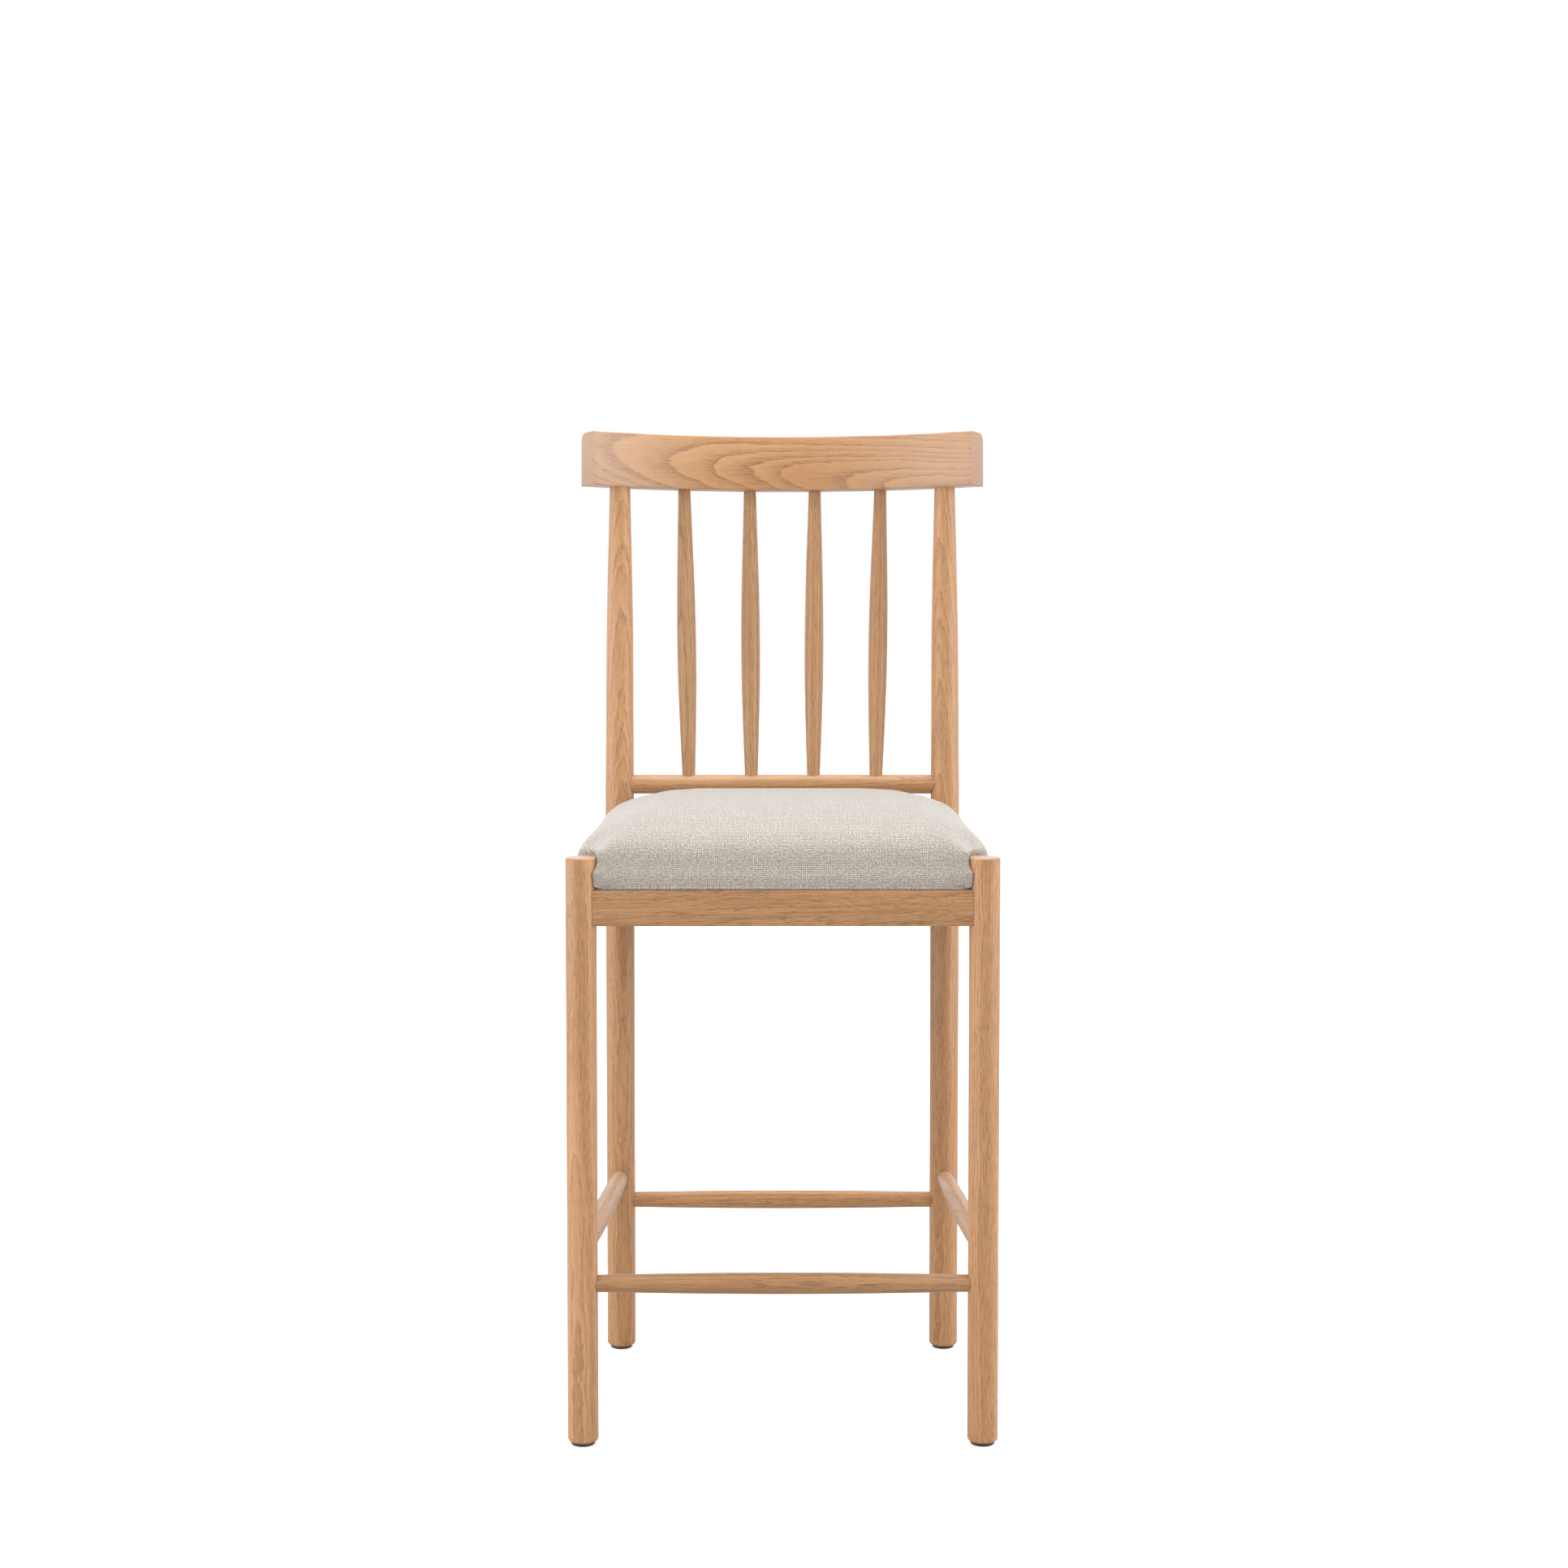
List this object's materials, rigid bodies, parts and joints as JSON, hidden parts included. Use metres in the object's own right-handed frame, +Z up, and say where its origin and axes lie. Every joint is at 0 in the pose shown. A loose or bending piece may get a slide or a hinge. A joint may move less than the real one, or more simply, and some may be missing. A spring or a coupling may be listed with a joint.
{
  "type": "counter stool",
  "caption": "Counter-height stool: round-legged oak frame with turned stretchers, a spindle back under a bowed crest rail, and an upholstered linen seat.",
  "frame": {"origin": "middle of the overall box in plan, at floor level, where the foot glides stand", "axes": "+X to the right as seen from in front, +Y from the seat's front to the back rest, +Z up"},
  "size_m": [0.4648, 0.4402, 1.0664],
  "materials": {
    "oak": "matt clear-lacquered oak with open grain",
    "block": "sawn hardwood, unfinished",
    "dowel": "fluted beech, unfinished",
    "plywood": "sanded plywood, unfinished",
    "linen": "ecru linen-look plain weave, matt",
    "foam": "cut upholstery foam",
    "dust_cover": "black non-woven cloth",
    "screw": "zinc plated",
    "glide": "dark grey-brown nylon, matt"
  },
  "bodies": {
    "root": {"back_spindle_1": "oak", "back_spindle_2": "oak", "back_spindle_3": "oak", "back_spindle_4": "oak", "front_leg_left": "oak", "rear_leg_left": "oak", "front_leg_right": "oak", "rear_leg_right": "oak", "foot_glide_front_left": "glide", "foot_glide_front_right": "glide", "foot_glide_rear_left": "glide", "foot_glide_rear_right": "glide", "crest_rail": "oak", "lower_back_rail": "oak", "front_apron": "oak", "front_stretcher": "oak", "rear_apron": "oak", "rear_stretcher": "oak", "left_apron": "oak", "left_stretcher": "oak", "right_apron": "oak", "right_stretcher": "oak", "dowel_front_apron_front_left_low": "dowel", "dowel_front_apron_front_left_high": "dowel", "dowel_front_apron_front_right_low": "dowel", "dowel_front_apron_front_right_high": "dowel", "dowel_rear_apron_rear_left_low": "dowel", "dowel_rear_apron_rear_left_high": "dowel", "dowel_rear_apron_rear_right_low": "dowel", "dowel_rear_apron_rear_right_high": "dowel", "dowel_left_apron_front_left_low": "dowel", "dowel_left_apron_front_left_high": "dowel", "dowel_left_apron_rear_left_low": "dowel", "dowel_left_apron_rear_left_high": "dowel", "dowel_right_apron_front_right_low": "dowel", "dowel_right_apron_front_right_high": "dowel", "dowel_right_apron_rear_right_low": "dowel", "dowel_right_apron_rear_right_high": "dowel", "corner_block_front_left": "block", "screw_across_front_left": "screw", "screw_deep_front_left": "screw", "screw_seat_front_left": "screw", "corner_block_front_right": "block", "screw_across_front_right": "screw", "screw_deep_front_right": "screw", "screw_seat_front_right": "screw", "corner_block_rear_left": "block", "screw_across_rear_left": "screw", "screw_deep_rear_left": "screw", "screw_seat_rear_left": "screw", "corner_block_rear_right": "block", "screw_across_rear_right": "screw", "screw_deep_rear_right": "screw", "screw_seat_rear_right": "screw", "seat_board": "plywood", "seat_foam": "foam", "seat_cover": "linen", "dust_cover": "dust_cover"}
  },
  "joints": []
}
